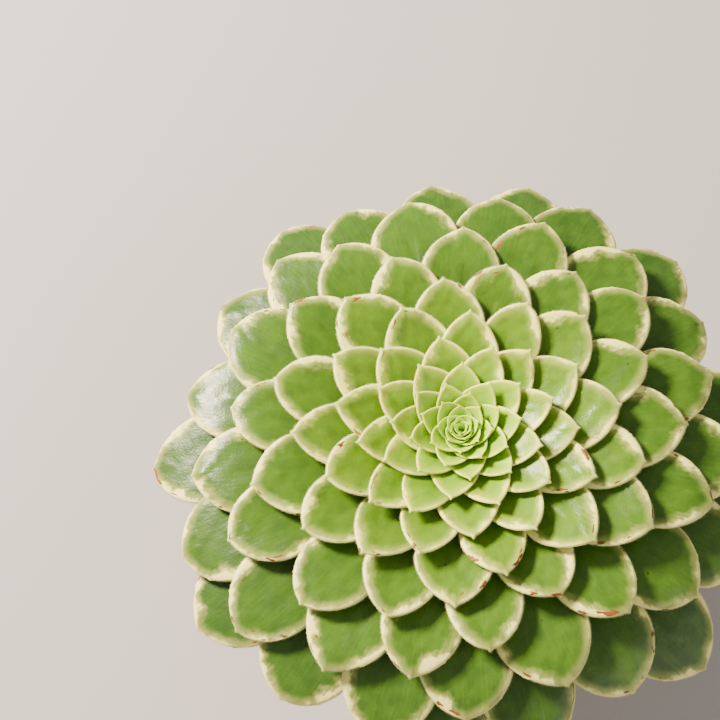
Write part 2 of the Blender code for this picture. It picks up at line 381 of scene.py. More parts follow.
def cream_width(source, run, shape, out):
    """Width of the pale margin round the outline: broad on the shoulders, and broader on one side."""
    away = np.abs(run)
    shoulder = smooth(0.5 * MM, 8 * MM, away) * (0.45 + 0.55 * smooth(0.2, 0.6, out))
    size = np.interp(shape["age"], [0, 0.12, 0.3, 0.5, 1], [0.05, 0.12, 0.5, 0.9, 1.05]) * MM
    sided = 1 + source.uniform(-0.55, 0.55) * np.tanh(run / (6 * MM))
    lobes = 1 + waves(source, run, [9 * MM, 16 * MM, 33 * MM], 1.25)
    return size * (0.22 + shoulder) * np.clip(lobes, 0.08, 2.8) * sided * source.uniform(0.7, 1.35)


def leaf_piece(leaf, finish):
    """One leaf as a closed skin: top and bottom grids that share their outline, and a closed base."""
    top, bottom, values, outline, x, y, shape = leaf_surface(leaf)
    rows, columns = x.shape
    count = rows * columns
    lower = np.arange(count).reshape(rows, columns) + count
    own = np.arange(count).reshape(rows, columns)
    lower[:, 0], lower[:, -1], lower[-1] = own[:, 0], own[:, -1], own[-1]
    faces_low = lower.ravel()[grid_faces(rows, columns)]
    faces_top = grid_faces(rows, columns)[:, ::-1]
    base = np.stack([own[0, :-1], own[0, 1:], lower[0, 1:], lower[0, :-1]], axis=1)
    faces = np.concatenate([faces_top, faces_low, base[1:-1]])
    corner_a = [own[0, 0], own[0, 1], lower[0, 1]]
    corner_b = [own[0, -2], own[0, -1], lower[0, -2]]
    points = np.concatenate([top.reshape(-1, 3), bottom.reshape(-1, 3)])
    used, index = np.unique(np.concatenate([faces.ravel(), corner_a, corner_b]), return_inverse=True)
    quads = index[:faces.size].reshape(-1, 4)
    triangles = index[faces.size:].reshape(2, 3)
    attributes = {key: np.concatenate([v.ravel(), v.ravel()])[used] for key, v in values.items()}
    attributes["age"] = np.full(len(used), shape["age"])
    attributes["seed"] = np.full(len(used), float(leaf))
    side = np.concatenate([np.zeros(count), np.ones(count)])[used]
    attributes["under"] = side
    uv = np.concatenate([np.stack([x.ravel(), y.ravel()], 1)] * 2)[used] / UV_UNIT
    uv = uv + np.stack([0.25 + 0.5 * side, np.zeros(len(used))], 1)
    name = f"aeonium_leaf_{leaf + 1:03d}"
    piece = mesh_of(name, points[used], [quads, triangles], attributes, uv)
    piece.data.materials.append(finish)
    return piece, outline, shape


def outline_hairs(leaf, outline, shape):
    """Points and faces of the hairs round a leaf's margin: slim four-faced cones, 0.28 mm apart.

    Each stands on the outline and points out of it, leaning towards the tip and a little up or down.
    """
    source = rng(leaf, HAIR_SEED)
    last_row, last_column = (count - 1 for count in outline["run"].shape)
    side_rows = np.arange(last_row)
    row = np.concatenate([side_rows, np.full(last_column + 1, last_row), side_rows[::-1]])
    column = np.concatenate([0 * side_rows, np.arange(last_column + 1), 0 * side_rows + last_column])
    path = outline["middle"][row, column]
    up = outline["normal"][row, column]
    out = outline["out"][row, column]
    length = np.concatenate([[0], np.cumsum(np.linalg.norm(np.diff(path, axis=0), axis=1))])
    count = int(length[-1] / HAIR_SPACING)
    at = (np.arange(count) + source.uniform(-0.3, 0.3, count)) * length[-1] / count
    at = np.clip(at, 0, length[-1])
    foot, up = (np.stack([np.interp(at, length, line[:, i]) for i in range(3)], 1)
                for line in (path, up))
    exposed = np.interp(at, length, out)
    ahead = np.stack([np.interp(at + 0.4 * MM, length, path[:, i])
                      - np.interp(at - 0.4 * MM, length, path[:, i])
                      for i in range(3)], 1)
    keep = exposed > HAIRS_BEGIN
    foot, up, ahead, at = foot[keep], up[keep], ahead[keep], at[keep]
    ahead /= np.maximum(np.linalg.norm(ahead, axis=1, keepdims=True), 1e-9)
    up /= np.linalg.norm(up, axis=1, keepdims=True)
    away = np.cross(ahead, up)
    inside = outline["middle"][len(BLADE_ROWS), len(ACROSS) // 2]
    away *= np.sign(np.sum(away * (foot - inside), 1, keepdims=True))
    middle_run = 0.5 * length[-1]
    lean = np.sign(middle_run - at)[:, None] * ahead
    way = (away + HAIR_LEAN * lean + source.uniform(-0.25, 0.35, (len(at), 1)) * up
           + source.normal(0, 0.12, (len(at), 3)))
    way /= np.linalg.norm(way, axis=1, keepdims=True)
    size = (source.uniform(0.5, 0.9, (len(at), 1)) * MM
            * np.interp(shape["age"], [0, 0.15, 0.5], [0.22, 0.50, 1.0]))
    thick = HAIR_RADIUS * np.interp(shape["age"], [0, 0.15, 0.5], [0.35, 0.6, 1.0])
    first = np.cross(way, up)
    first /= np.maximum(np.linalg.norm(first, axis=1, keepdims=True), 1e-9)
    second = np.cross(way, first)
    root = foot - HAIR_ROOT * away
    corners = [root + thick * (math.cos(a) * first + math.sin(a) * second)
               for a in (0, TAU / 3, 2 * TAU / 3)]
    points = np.stack(corners + [root + size * way], axis=1).reshape(-1, 3)
    start = 4 * np.arange(len(at))[:, None, None]
    faces = (np.array([[0, 1, 3], [1, 2, 3], [2, 0, 3], [0, 2, 1]])[None] + start).reshape(-1, 3)
    end = np.tile([0.0, 0.0, 0.0, 1.0], len(at))
    return points, faces, end


# ---------------------------------------------------------------- pot, soil and stem geometry

POT_FOOT_RADIUS = 50 * MM
STEM_FOOT_RADIUS = 7 * MM
SCAR_COUNT = 60
SCAR_PITCH = 0.62 * MM
SCAR_DEPTH = 0.35 * MM
POT_WALL = 6.5 * MM
POT_FLOOR = 9 * MM
RIM_HEIGHT = 26 * MM
RIM_STEP = 4.2 * MM
RIM_TAPER = 1.3 * MM
DRAIN_RADIUS = 9.5 * MM
SOIL_MOUND = 4 * MM
SOIL_MOUND_RADIUS = 30 * MM
SOIL_LEVEL = POT_TOP - 16 * MM
FIT_GAP = 0.3 * MM


def pot_outer(height):
    """Outer radius of the pot's wall below the band: a straight taper from foot to top."""
    return POT_FOOT_RADIUS + (POT_RADIUS - RIM_STEP - POT_FOOT_RADIUS) * height / POT_TOP


def rounded_path(corners, step):
    """A closed path of (radius, height, rounding) corners, with points at most step apart."""
    corners = np.array(corners)
    points = []
    for i, (r, z, bend) in enumerate(corners):
        here = np.array([r, z])
        before = corners[i - 1][:2] - here
        after = corners[(i + 1) % len(corners)][:2] - here
        before, after = before / np.linalg.norm(before), after / np.linalg.norm(after)
        t = np.linspace(0, 1, 8)[:, None]
        a, b = here + before * bend, here + after * bend
        points.append((1 - t) ** 2 * a + 2 * t * (1 - t) * here + t ** 2 * b)
    path = np.concatenate(points + [points[0][:1]])
    run = np.concatenate([[0], np.cumsum(np.hypot(*np.diff(path, axis=0).T))])
    extra = np.arange(0, run[-1], step)
    at = np.unique(np.round(np.concatenate([run[:-1], extra]), 6))
    return np.stack([np.interp(at, run, path[:, 0]), np.interp(at, run, path[:, 1])], 1)


def turned_ring(name, path, segments, wobble, finish):
    """A closed section path turned round Z, with a slow wobble of its radius.

    The radius is r + wobble sin(2 a + 40 z) + wobble / 2 sin(3 a), at angle a and height z.
    """
    angle = np.arange(segments) * TAU / segments
    radius = (path[:, :1] + wobble * np.sin(2 * angle[None] + 40 * path[:, 1:])
              + 0.5 * wobble * np.sin(3 * angle[None]))
    height = np.repeat(path[:, 1:], segments, axis=1)
    points = np.stack([radius * np.cos(angle), radius * np.sin(angle), height], -1).reshape(-1, 3)
    faces = grid_faces(len(path), segments, wrap=True)
    last = np.arange(segments) + (len(path) - 1) * segments
    first = np.arange(segments)
    join = np.stack([last, np.roll(last, -1), np.roll(first, -1), first], 1)
    made = mesh_of(name, points, [faces, join])
    made.data.materials.append(finish)
    return made


def pot_piece(finish):
    """The clay pot: tapered wall, rim band, foot, floor with a drain hole, and a rounded lip."""
    band = POT_TOP - RIM_HEIGHT
    inner_top = pot_outer(POT_TOP) - POT_WALL
    inner_floor = pot_outer(POT_FLOOR) - POT_WALL
    corners = [(POT_RADIUS, POT_TOP, 2.2 * MM), (POT_RADIUS - RIM_TAPER, band, 2.0 * MM),
               (pot_outer(band), band, 0.8 * MM), (POT_FOOT_RADIUS, 0, 2.0 * MM),
               (DRAIN_RADIUS, 0, 0.8 * MM), (DRAIN_RADIUS, POT_FLOOR, 1.2 * MM),
               (inner_floor, POT_FLOOR, 4.5 * MM), (inner_top, POT_TOP, 2.2 * MM)]
    return turned_ring("terracotta_pot", rounded_path(corners, 3 * MM)[::-1], 160, 0.12 * MM, finish)


def soil_piece(finish):
    """The potting mix: a mounded top with crumbs, and plain sides.

    The top's height is level + mound exp(-(r / 30 mm)^2) + a sum of sines + a little noise.
    """
    source = rng(SOIL_SEED)
    segments, rings = 180, 70
    edge = SOIL_EDGE - 0.05 * MM
    radius = np.linspace(0.2 * MM, edge, rings)[:, None]
    angle = (np.arange(segments) * TAU / segments)[None]
    height = SOIL_LEVEL + SOIL_MOUND * np.exp(-(radius / SOIL_MOUND_RADIUS) ** 2)
    x, y = radius * np.cos(angle), radius * np.sin(angle)
    bumps = sum(np.sin(TAU * (x * math.cos(a) + y * math.sin(a)) / w + p) * w for a, w, p in
                zip(source.uniform(0, TAU, 14), source.uniform(3, 12, 14) * MM,
                    source.uniform(0, TAU, 14)))
    height = height + 0.028 * bumps + source.normal(0, 0.18 * MM, (rings, segments))
    height = np.where(radius > edge - 0.1 * MM, SOIL_LEVEL, height)
    top = np.stack([x, y, height], -1)
    floor = POT_FLOOR + FIT_GAP
    low_radius = pot_outer(floor) - POT_WALL - 2 * FIT_GAP
    radius, height = np.array([[low_radius, floor + 4.5 * MM],
                               [low_radius - 4 * MM, floor]]).T[..., None]
    side = np.stack([radius * np.cos(angle), radius * np.sin(angle), height + 0 * angle], -1)
    grid = np.concatenate([top, side])
    made = mesh_of("potting_mix", with_middles(grid), turned_solid(rings + 2, segments))
    made.data.materials.append(finish)
    return made


def grains(name, source, count, size, flat, finish):
    """Small lumps strewn on the potting mix: 20-faced balls, squashed, knocked about and partly sunk."""
    golden = (1 + 5 ** 0.5) / 2
    ball = np.array([(-1, golden, 0), (1, golden, 0), (-1, -golden, 0), (1, -golden, 0),
                     (0, -1, golden), (0, 1, golden), (0, -1, -golden), (0, 1, -golden),
                     (golden, 0, -1), (golden, 0, 1), (-golden, 0, -1),
                     (-golden, 0, 1)]) / math.hypot(1, golden)
    sides = np.array([(0, 11, 5), (0, 5, 1), (0, 1, 7), (0, 7, 10), (0, 10, 11), (1, 5, 9), (5, 11, 4),
                      (11, 10, 2), (10, 7, 6), (7, 1, 8), (3, 9, 4), (3, 4, 2), (3, 2, 6), (3, 6, 8),
                      (3, 8, 9), (4, 9, 5), (2, 4, 11), (6, 2, 10), (8, 6, 7), (9, 8, 1)])
    radius = np.sqrt(source.uniform(0.045, 0.86, count)) * SOIL_EDGE
    angle = source.uniform(0, TAU, count)
    length = source.uniform(*size, count) * MM
    height = SOIL_LEVEL + SOIL_MOUND * np.exp(-(radius / SOIL_MOUND_RADIUS) ** 2) + 0.10 * length
    place = np.stack([radius * np.cos(angle), radius * np.sin(angle), height], 1)
    shape = ball[None] * source.uniform(0.75, 1.2, (count, 12, 1))
    axes = np.stack([length, length * source.uniform(0.6, 0.9, count), length * flat], 1)
    shape = shape * axes[:, None] / 2
    spin, tip = source.uniform(0, TAU, count), source.normal(0, 0.3, count)
    x = shape[..., 0] * np.cos(spin)[:, None] - shape[..., 1] * np.sin(spin)[:, None]
    y = shape[..., 0] * np.sin(spin)[:, None] + shape[..., 1] * np.cos(spin)[:, None]
    z = shape[..., 2] + x * np.sin(tip)[:, None]
    points = (np.stack([x, y, z], -1) + place[:, None]).reshape(-1, 3)
    faces = (sides[None] + 12 * np.arange(count)[:, None, None]).reshape(-1, 3)
    made = mesh_of(name, points, [faces], {"seed": np.repeat(source.uniform(0, 1, count), 12)})
    made.data.materials.append(finish)
    return made


def stem_piece(finish):
    """The stem: a slightly knobbly post whose leaf scars follow the leaf spiral, rooted in the mix.

    Each scar is a shallow lens, about 6 mm wide and 2 mm high, with a raised lower lip.
    """
    low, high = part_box("stem")
    segments, rings = 96, 150
    height = np.linspace(low[2], high[2], rings)[:, None]
    angle = (np.arange(segments) * TAU / segments)[None]
    soil = SOIL_LEVEL + SOIL_MOUND
    taper = smooth(low[2], soil, height)
    radius = (STEM_FOOT_RADIUS + (STEM_RADIUS - STEM_FOOT_RADIUS) * taper) * np.ones_like(angle)
    number = np.arange(SCAR_COUNT)
    scar_height = soil - 4 * MM + number * SCAR_PITCH
    scar_angle = FIRST_AZIMUTH - DIVERGENCE * number
    across = (angle[..., None] - scar_angle + math.pi) % TAU - math.pi
    across = across * STEM_RADIUS / (3.6 * MM)
    above = (height[..., None] - scar_height - 0.5 * MM * across ** 2) / (1.2 * MM)
    lens = np.exp(-np.maximum(across ** 2 + above ** 2 - 0.4, 0) * 3.0)
    lip = np.exp(-((above + 1.3) / 0.5) ** 2 - across ** 2)
    scar = lens.max(-1)
    knobs = 0.15 * MM * np.sin(3 * angle + 300 * height)
    radius = radius - SCAR_DEPTH * scar + SCAR_DEPTH * lip.max(-1) + knobs
    grid = np.stack([radius * np.cos(angle), radius * np.sin(angle), height + 0 * angle], -1)
    made = mesh_of("corky_stem", with_middles(grid), turned_solid(rings, segments),
                   {"scar": np.append(scar.ravel(), [0, 0])})
    made.data.materials.append(finish)
    return made


def growing_tip(finish):
    """The blunt green cone that the young leaves grow from: stalk radius against shell height."""
    leaf = np.linspace(2, YOUNG_LEAF_COUNT, 30)
    radius = stalk_radius(leaf)
    height = APEX_HEIGHT + shell(leaf, radius)
    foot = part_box("stem")[1][2]
    radius = np.concatenate([radius, [STEM_RADIUS * 0.99, STEM_RADIUS * 0.99]])
    height = np.concatenate([height, [min(height[-1], foot + 2 * MM) - 0.5 * MM, foot]])
    segments = 64
    angle = (np.arange(segments) * TAU / segments)[None]
    grid = np.stack([radius[:, None] * np.cos(angle), radius[:, None] * np.sin(angle),
                     height[:, None] + 0 * angle], -1)
    points = with_middles(grid)
    made = mesh_of("growing_tip", points, turned_solid(len(radius), segments),
                   {"scar": np.zeros(len(points))})
    made.data.materials.append(finish)
    return made


# ---------------------------------------------------------------- materials

# Sockets of a colour mix: how much of the second colour, the two colours, and the mixed colour.
SHARE, FROM, TO, MIXED = 0, 6, 7, 2


def add(tree, kind, inputs=None, output=0, stops=(), **settings):
    """Adds a node and returns an output. An input is a value, or another node's output to link."""
    made = tree.nodes.new("ShaderNode" + kind)
    for key, value in settings.items():
        setattr(made, key, value)
    for key, value in (inputs or {}).items():
        if isinstance(value, bpy.types.NodeSocket):
            tree.links.new(value, made.inputs[key])
        else:
            made.inputs[key].default_value = value
    if stops:
        elements = made.color_ramp.elements
        elements.remove(elements[1])
        for number, (position, code) in enumerate(stops):
            spot = elements.new(position) if number else elements[0]
            spot.position = position
            spot.color = colour(code)
    return made.outputs[output] if len(made.outputs) else None


def material(name):
    """An empty material and the function that adds nodes to it."""
    made = bpy.data.materials.new(name)
    made.use_nodes = True
    made.node_tree.nodes.clear()
    return made, partial(add, made.node_tree)


def leaf_flesh():
    """Living succulent leaf: waxy cuticle over watery green flesh, with a pale margin free of green.

    The wax gives broad soft highlights that break up over fine bumps, and the flesh a soft depth.
    """
    made, node = material("aeonium_leaf_flesh")
    edge, cream, age, seed, under, out, run = (
        node("Attribute", output="Fac", attribute_name=key)
        for key in ("edge", "cream", "age", "seed", "under", "out", "run"))
    place = node("TexCoord", output="Object")
    plan = node("UVMap", uv_map="surface")

    # Uneven edge of the pale margin: streaks along the leaf, 1 mm apart, over soft lobes of 4 mm.
    streak_at = node("Mapping", {"Vector": plan, "Scale": (110, 26, 1)})
    streaks = node("TexNoise", {"Vector": streak_at, "W": seed, "Scale": 1, "Detail": 3,
                                "Roughness": 0.6},
                   noise_dimensions="4D")
    lobes = node("TexNoise", {"Vector": place, "Scale": 250, "Detail": 2})
    shift = node("Math", {0: streaks, 1: 2.4, 2: -3.3}, operation="MULTIPLY_ADD")
    shift = node("Math", {0: lobes, 1: 4.2, 2: shift}, operation="MULTIPLY_ADD")
    reach = node("Math", {0: cream, 1: 1.5}, operation="MINIMUM")
    limit = node("Math", {0: shift, 1: reach, 2: cream}, operation="MULTIPLY_ADD")
    inside = node("Math", {0: edge, 1: limit}, operation="SUBTRACT")
    pale = node("MapRange", {"Value": inside, "From Min": 1.0, "From Max": -0.8},
                interpolation_type="SMOOTHSTEP")
    halo = node("MapRange", {"Value": inside, "From Min": 3.8, "From Max": -0.3, "To Max": 0.30},
                interpolation_type="SMOOTHSTEP")
    # Rim: the last half millimetre of the outline, where the pale edge and a painted highlight go.
    rim = node("MapRange", {"Value": edge, "From Min": 0.55, "From Max": 0.15},
               interpolation_type="SMOOTHSTEP")

    # Greens: fresh yellow-green in the bud, deeper with age, mottled over 6 mm, and darkened towards the
    # base by painted shade.
    green = node("ValToRGB", {"Fac": age}, stops=LEAF_GREENS)
    deep_and_shade_green = node("ValToRGB", {"Fac": age}, stops=DEEP_AND_SHADE_GREENS)
    own = node("TexWhiteNoise", {"W": seed}, noise_dimensions="1D")
    own = node("Math", {0: own, 1: 0.30}, operation="MULTIPLY")
    green = node("Mix", {SHARE: own, FROM: green, TO: deep_and_shade_green}, MIXED, data_type="RGBA")
    mottle = node("TexNoise", {"Vector": place, "Scale": 160, "Detail": 4})
    dark = node("MapRange", {"Value": mottle, "From Min": 0.38, "From Max": 0.68, "To Max": 0.45},
                interpolation_type="SMOOTHSTEP")
    green = node("Mix", {SHARE: dark, FROM: green, TO: deep_and_shade_green}, MIXED, data_type="RGBA")
    lines_at = node("Mapping", {"Vector": plan, "Scale": (110, 7, 1)})
    lines = node("TexNoise", {"Vector": lines_at, "Scale": 1, "Detail": 3})
    line = node("MapRange", {"Value": lines, "From Min": 0.45, "From Max": 0.75, "To Max": 0.08})
    green = node("Mix", {SHARE: line, FROM: green, TO: colour("#90ac34")}, MIXED, data_type="RGBA")
    margin = node("ValToRGB", {"Fac": age}, stops=MARGIN_CREAMS)
    green = node("Mix", {SHARE: halo, FROM: green, TO: margin}, MIXED, data_type="RGBA")
    # Painted shade: each leaf's base, covered by the leaves above, is mixed towards the darker green.
    painted_base_shade = node("MapRange", {"Value": out, "From Min": 0.92, "From Max": 0.45, "To Max": 0.55},
                 interpolation_type="SMOOTHSTEP")
    green = node("Mix", {SHARE: painted_base_shade, FROM: green, TO: deep_and_shade_green}, MIXED, data_type="RGBA")

    # The margin is cream, greener in the youngest leaves; on the rim itself it is lightened further,
    # partly the margin's own pale edge and partly a painted highlight, less in young leaves.
    skin = node("Mix", {SHARE: pale, FROM: green, TO: margin}, MIXED, data_type="RGBA")
    old = node("MapRange", {"Value": age, "From Min": 0.05, "From Max": 0.5, "To Min": 0.05,
                            "To Max": 0.40})
    # Painted highlight: the rim is mixed towards near-white, more in older leaves.
    rim = node("Math", {0: rim, 1: old}, operation="MULTIPLY")
    skin = node("Mix", {SHARE: rim, FROM: skin, TO: colour("#fdf6a8")}, MIXED, data_type="RGBA")

    # Corky brown scars on the rims of older leaves, 2 to 6 mm long, with a dark outline.
    scar_at = node("CombineXYZ", {"X": run, "Y": edge, "Z": seed})
    scar_at = node("Mapping", {"Vector": scar_at, "Scale": (0.12, 0.45, 3.7)})
    scars = node("TexNoise", {"Vector": scar_at, "Scale": 1, "Detail": 2})
    narrow = node("Math", {0: edge, 1: -0.030, 2: scars}, operation="MULTIPLY_ADD")
    ripe = node("MapRange", {"Value": age, "From Min": 0.25, "From Max": 0.45})
    scar = node("MapRange", {"Value": narrow, "From Min": 0.62, "From Max": 0.64})
    scar = node("Math", {0: scar, 1: ripe}, operation="MULTIPLY")
    heart = node("MapRange", {"Value": narrow, "From Min": 0.635, "From Max": 0.68})
    cork = node("Mix", {SHARE: heart, FROM: colour("#55290f"), TO: colour("#9c5628")}, MIXED,
                data_type="RGBA")
    skin = node("Mix", {SHARE: scar, FROM: skin, TO: cork}, MIXED, data_type="RGBA")

    # Rare dark specks 1 mm across, and a paler underside.
    cells = node("TexVoronoi", {"Vector": place, "Scale": 62})
    speck = node("MapRange", {"Value": cells, "From Min": 0.045, "From Max": 0.02, "To Max": 0.85})
    speck = node("Math", {0: speck, 1: ripe}, operation="MULTIPLY")
    skin = node("Mix", {SHARE: speck, FROM: skin, TO: colour("#3a2210")}, MIXED, data_type="RGBA")
    below = node("Math", {0: under, 1: 0.4}, operation="MULTIPLY")
    skin = node("Mix", {SHARE: below, FROM: skin, TO: colour("#a9c46a")}, MIXED, data_type="RGBA")

    # Wax: grains of 0.7 mm on soft unevenness of 4 mm and faint ribs along the leaf.
    grain = node("TexNoise", {"Vector": place, "Scale": 1300, "Detail": 1})
    relief = node("TexNoise", {"Vector": place, "Scale": 230, "Detail": 2})
    relief = node("Math", {0: grain, 1: 0.35, 2: relief}, operation="MULTIPLY_ADD")
    relief = node("Math", {0: lines, 1: 0.25, 2: relief}, operation="MULTIPLY_ADD")
    bump = node("Bump", {"Height": relief, "Strength": 0.5, "Distance": 0.30 * MM})
    rough = node("MapRange", {"Value": mottle, "From Min": 0.3, "From Max": 0.7, "To Min": 0.24,
                              "To Max": 0.36})
    rough = node("Math", {0: pale, 1: 0.12, 2: rough}, operation="MULTIPLY_ADD")
    shader = node("BsdfPrincipled", {
        "Base Color": skin, "Roughness": rough, "Normal": bump, "IOR": 1.45,
        "Specular IOR Level": 0.32, "Subsurface Weight": 0.15, "Subsurface Scale": 1.6 * MM,
        "Subsurface Radius": (0.7, 1.0, 0.15)})
    node("OutputMaterial", {"Surface": shader})
    return made


def hair_fibre():
    """Leaf hair: a slim cell 0.2 mm across, cream-white at its end and yellow-green at its root."""
    made, node = material("leaf_margin_hair")
    end = node("Attribute", output="Fac", attribute_name="end")
    tint = node("Mix", {SHARE: end, FROM: colour("#e2e47c"), TO: colour("#faf4d6")}, MIXED,
                data_type="RGBA")
    shader = node("BsdfPrincipled", {"Base Color": tint, "Roughness": 0.45, "Subsurface Weight": 0.2,
                                     "Subsurface Scale": 0.3 * MM})
    node("OutputMaterial", {"Surface": shader})
    return made


def fired_clay():
    """Terracotta, thrown and fired: matt porous orange-brown clay, wheel rings and lime bloom."""
    made, node = material("terracotta_clay")
    place = node("TexCoord", output="Object")
    height = node("SeparateXYZ", {"Vector": place}, "Z")
    cloud = node("TexNoise", {"Vector": place, "Scale": 28, "Detail": 5, "Roughness": 0.6})
    grain = node("TexNoise", {"Vector": place, "Scale": 900, "Detail": 3, "Roughness": 0.6})
    clay = node("ValToRGB", {"Fac": cloud}, stops=((0.3, "#9a4620"), (0.5, "#b0562a"),
                                                   (0.7, "#c27244")))
    dark = node("MapRange", {"Value": grain, "From Min": 0.35, "From Max": 0.7, "To Max": 0.35})
    clay = node("Mix", {SHARE: dark, FROM: clay, TO: colour("#8d3f1f")}, MIXED, data_type="RGBA")

    # Lime bloom: strongest near the foot, in drifts of 20 mm broken up by the grain.
    low = node("MapRange", {"Value": height, "From Min": 55 * MM, "From Max": 5 * MM, "To Min": 0.14,
                            "To Max": 0.55})
    drift = node("TexNoise", {"Vector": place, "Scale": 42, "Detail": 8, "Roughness": 0.72})
    drift = node("MapRange", {"Value": drift, "From Min": 0.46, "From Max": 0.72},
                 interpolation_type="SMOOTHSTEP")
    bloom = node("Math", {0: drift, 1: low}, operation="MULTIPLY")
    clay = node("Mix", {SHARE: bloom, FROM: clay, TO: colour("#e2cdb6")}, MIXED, data_type="RGBA")
    dots = node("TexNoise", {"Vector": place, "Scale": 1400, "Detail": 1})
    dots = node("MapRange", {"Value": dots, "From Min": 0.635, "From Max": 0.68, "To Max": 0.5})
    clay = node("Mix", {SHARE: dots, FROM: clay, TO: colour("#6b3520")}, MIXED, data_type="RGBA")

    # Wheel rings, about 1 mm apart, and the grain of the clay.
    rings_at = node("Mapping", {"Vector": place, "Scale": (18, 18, 1100)})
    rings = node("TexNoise", {"Vector": rings_at, "Scale": 1, "Detail": 2})
    relief = node("Math", {0: rings, 1: 1.2, 2: grain}, operation="MULTIPLY_ADD")
    bump = node("Bump", {"Height": relief, "Strength": 0.6, "Distance": 0.25 * MM})
    rough = node("MapRange", {"Value": cloud, "From Min": 0.3, "From Max": 0.7, "To Min": 0.78,
                              "To Max": 0.92})
    shader = node("BsdfPrincipled", {"Base Color": clay, "Roughness": rough, "Normal": bump})
    node("OutputMaterial", {"Surface": shader})
    return made


def moist_potting_mix():
    """Peat and composted bark, loose and moist: dark crumbs, rough and dull."""
    made, node = material("moist_potting_mix")
    place = node("TexCoord", output="Object")
    crumbs = node("TexNoise", {"Vector": place, "Scale": 420, "Detail": 4, "Roughness": 0.65})
    earth = node("ValToRGB", {"Fac": crumbs}, stops=((0.35, "#1f1610"), (0.52, "#3a2a1d"),
                                                     (0.68, "#5c4632")))
    patches = node("TexNoise", {"Vector": place, "Scale": 70, "Detail": 3})
    damp = node("MapRange", {"Value": patches, "From Min": 0.4, "From Max": 0.65, "To Max": 0.5})
    earth = node("Mix", {SHARE: damp, FROM: earth, TO: colour("#1a120c")}, MIXED, data_type="RGBA")
    bump = node("Bump", {"Height": crumbs, "Strength": 0.8, "Distance": 0.8 * MM})
    rough = node("MapRange", {"Value": patches, "From Min": 0.3, "From Max": 0.7, "To Min": 0.95,
                              "To Max": 0.8})
    shader = node("BsdfPrincipled", {"Base Color": earth, "Roughness": rough, "Normal": bump})
    node("OutputMaterial", {"Surface": shader})
    return made


def granule(name, stops, scale, roughness):
    """Loose grains, broken and pitted: each has its own tint from the stops, and darker pits.

    Perlite is puffed volcanic glass, white and dull; bark is flaky and brown; grit is crushed stone.
    """
    made, node = material(name)
    place = node("TexCoord", output="Object")
    seed = node("Attribute", output="Fac", attribute_name="seed")
    tint = node("ValToRGB", {"Fac": seed}, stops=stops)
    pits = node("TexNoise", {"Vector": place, "Scale": scale, "Detail": 3, "Roughness": 0.6})
    pit = node("MapRange", {"Value": pits, "From Min": 0.4, "From Max": 0.7, "To Max": 0.5})
    tint = node("Mix", {SHARE: pit, FROM: tint, TO: colour("#3a2c20")}, MIXED, data_type="RGBA")
    bump = node("Bump", {"Height": pits, "Strength": 0.6, "Distance": 0.3 * MM})
    rough = node("Math", {0: pits, 1: 0.15, 2: roughness - 0.07}, operation="MULTIPLY_ADD")
    shader = node("BsdfPrincipled", {"Base Color": tint, "Roughness": rough, "Normal": bump})
    node("OutputMaterial", {"Surface": shader})
    return made


def stem_bark():
    """Young wood of a succulent stem: grey-brown cork, greener upwards, and dark in leaf scars."""
    made, node = material("corky_stem_bark")
    place = node("TexCoord", output="Object")
    scar = node("Attribute", output="Fac", attribute_name="scar")
    height = node("SeparateXYZ", {"Vector": place}, "Z")
    streak_at = node("Mapping", {"Vector": place, "Scale": (500, 500, 90)})
    streaks = node("TexNoise", {"Vector": streak_at, "Scale": 1, "Detail": 4})
    cork = node("ValToRGB", {"Fac": streaks}, stops=((0.3, "#6f5f42"), (0.5, "#8d7a55"),
                                                     (0.7, "#a99a6c")))
    fresh = node("MapRange", {"Value": height, "From Min": 118 * MM, "From Max": 142 * MM,
                              "To Max": 0.65})
    cork = node("Mix", {SHARE: fresh, FROM: cork, TO: colour("#8fa650")}, MIXED, data_type="RGBA")
    cork = node("Mix", {SHARE: scar, FROM: cork, TO: colour("#4d3c26")}, MIXED, data_type="RGBA")
    bump = node("Bump", {"Height": streaks, "Strength": 0.6, "Distance": 0.4 * MM})
    rough = node("MapRange", {"Value": streaks, "From Min": 0.3, "From Max": 0.7, "To Min": 0.6,
                              "To Max": 0.8})
    shader = node("BsdfPrincipled", {"Base Color": cork, "Roughness": rough, "Normal": bump})
    node("OutputMaterial", {"Surface": shader})
    return made


# ---------------------------------------------------------------- camera, floor and lights

VIEW_ELEVATION = math.radians(71.5)
VIEW_DISTANCE = 0.616
FOCAL = 85.6
SENSOR = 36.0
APEX_OFF_CENTRE = (0.1406, -0.0921)
FLOOR_HALF_SIDE = 12.0
KEY_PLACE, KEY_SIZE, KEY_POWER = (-0.95, 0.60, 1.02), 0.32, 100
FILL_PLACE, FILL_SIZE, FILL_POWER = (0.9, -0.7, 1.0), 1.0, 7
SURROUND_STRENGTH = 0.46


def set_camera():
    """A long lens looking steeply down on the rosette, which sits right of and below the middle."""
    data = bpy.data.cameras.new("camera")
    data.sensor_width = SENSOR
    data.lens = FOCAL
    data.clip_start = 0.01
    data.clip_end = 20
    made = bpy.data.objects.new("camera", data)
    bpy.context.scene.collection.objects.link(made)
    back = np.array([0, -math.cos(VIEW_ELEVATION), math.sin(VIEW_ELEVATION)])
    up = np.array([0, math.sin(VIEW_ELEVATION), math.cos(VIEW_ELEVATION)])
    right = np.array([1.0, 0, 0])
    apex = np.array([0, 0, APEX_HEIGHT])
    place = apex + back * VIEW_DISTANCE
    width = SENSOR / FOCAL * VIEW_DISTANCE
    aim = apex - right * APEX_OFF_CENTRE[0] * width - up * APEX_OFF_CENTRE[1] * width
    ahead = Vector(aim - place).normalized()
    side = ahead.cross(Vector(up)).normalized()
    top = side.cross(ahead)
    turn = Matrix((side, top, -ahead)).transposed().to_4x4()
    made.matrix_world = Matrix.Translation(Vector(place)) @ turn
    bpy.context.scene.camera = made


